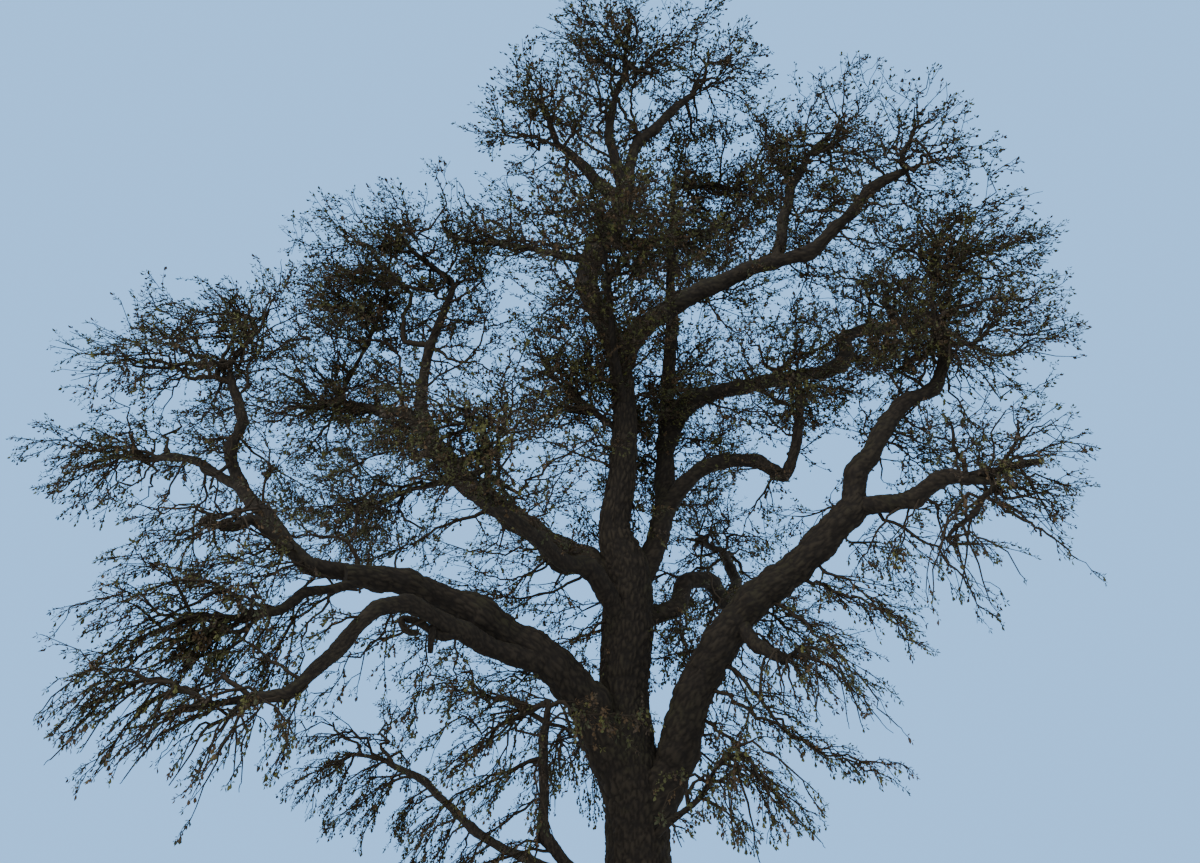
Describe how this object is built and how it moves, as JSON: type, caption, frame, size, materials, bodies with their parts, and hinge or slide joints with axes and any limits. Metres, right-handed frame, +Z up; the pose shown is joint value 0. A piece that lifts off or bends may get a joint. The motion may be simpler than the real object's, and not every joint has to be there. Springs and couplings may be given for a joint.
{
  "type": "black gum tree",
  "caption": "Broad old black gum in early spring: flared trunk that sheds spreading boughs, open tiers of twigs with young leaves, low twigs that droop.",
  "frame": {"origin": "middle of the flat cut under the trunk, at ground level", "axes": "+Z up, +X to the right and -Y towards the viewer of the picture"},
  "size_m": [19.7387, 12.9383, 20.3539],
  "materials": {
    "bark": "deeply furrowed, dull, brown black",
    "young_leaf": "dull, olive with bronze"
  },
  "bodies": {
    "root": {"trunk": "bark", "bough_second_leader": "bark", "bough_right_bough": "bark", "bough_left_bough": "bark", "bough_upper_left": "bark", "bough_upper_right": "bark", "bough_right_rise": "bark", "bough_right_out": "bark", "bough_right_low": "bark", "bough_left_rise": "bark", "bough_left_low": "bark", "bough_left_out": "bark", "bough_far_left": "bark", "bough_mid_left_up": "bark", "bough_mid_left_out": "bark", "bough_centre_right": "bark", "bough_right_inner": "bark", "bough_upper_right_fork": "bark", "bough_top_left": "bark", "bough_top_right": "bark", "bough_low_left_stem": "bark", "bough_low_left_drooper": "bark", "bough_front_left": "bark", "bough_left_mid": "bark", "bough_back_left": "bark", "bough_back_right": "bark", "foliage_top_crown": "young_leaf", "foliage_top_right": "young_leaf", "foliage_top_left": "young_leaf", "foliage_high_left": "young_leaf", "foliage_high_front": "young_leaf", "foliage_high_back": "young_leaf", "foliage_second_leader": "young_leaf", "foliage_upper_right": "young_leaf", "foliage_upper_right_fork": "young_leaf", "foliage_left_mid": "young_leaf", "foliage_centre_right": "young_leaf", "foliage_right_rise_high": "young_leaf", "foliage_right_rise_low": "young_leaf", "foliage_right_out": "young_leaf", "foliage_right_out_weeping": "young_leaf", "foliage_right_low": "young_leaf", "foliage_low_right": "young_leaf", "foliage_right_inner": "young_leaf", "foliage_left_rise_high": "young_leaf", "foliage_left_rise_low": "young_leaf", "foliage_far_left": "young_leaf", "foliage_left_out": "young_leaf", "foliage_left_low": "young_leaf", "foliage_left_low_weeping": "young_leaf", "foliage_mid_left_up": "young_leaf", "foliage_mid_left_high": "young_leaf", "foliage_mid_left_out": "young_leaf", "foliage_front_left": "young_leaf", "foliage_inner_left": "young_leaf", "foliage_back_left": "young_leaf", "foliage_back_right": "young_leaf", "foliage_low_left_stem": "young_leaf", "foliage_low_left_drooper": "young_leaf", "foliage_low_back": "young_leaf"}
  },
  "joints": []
}
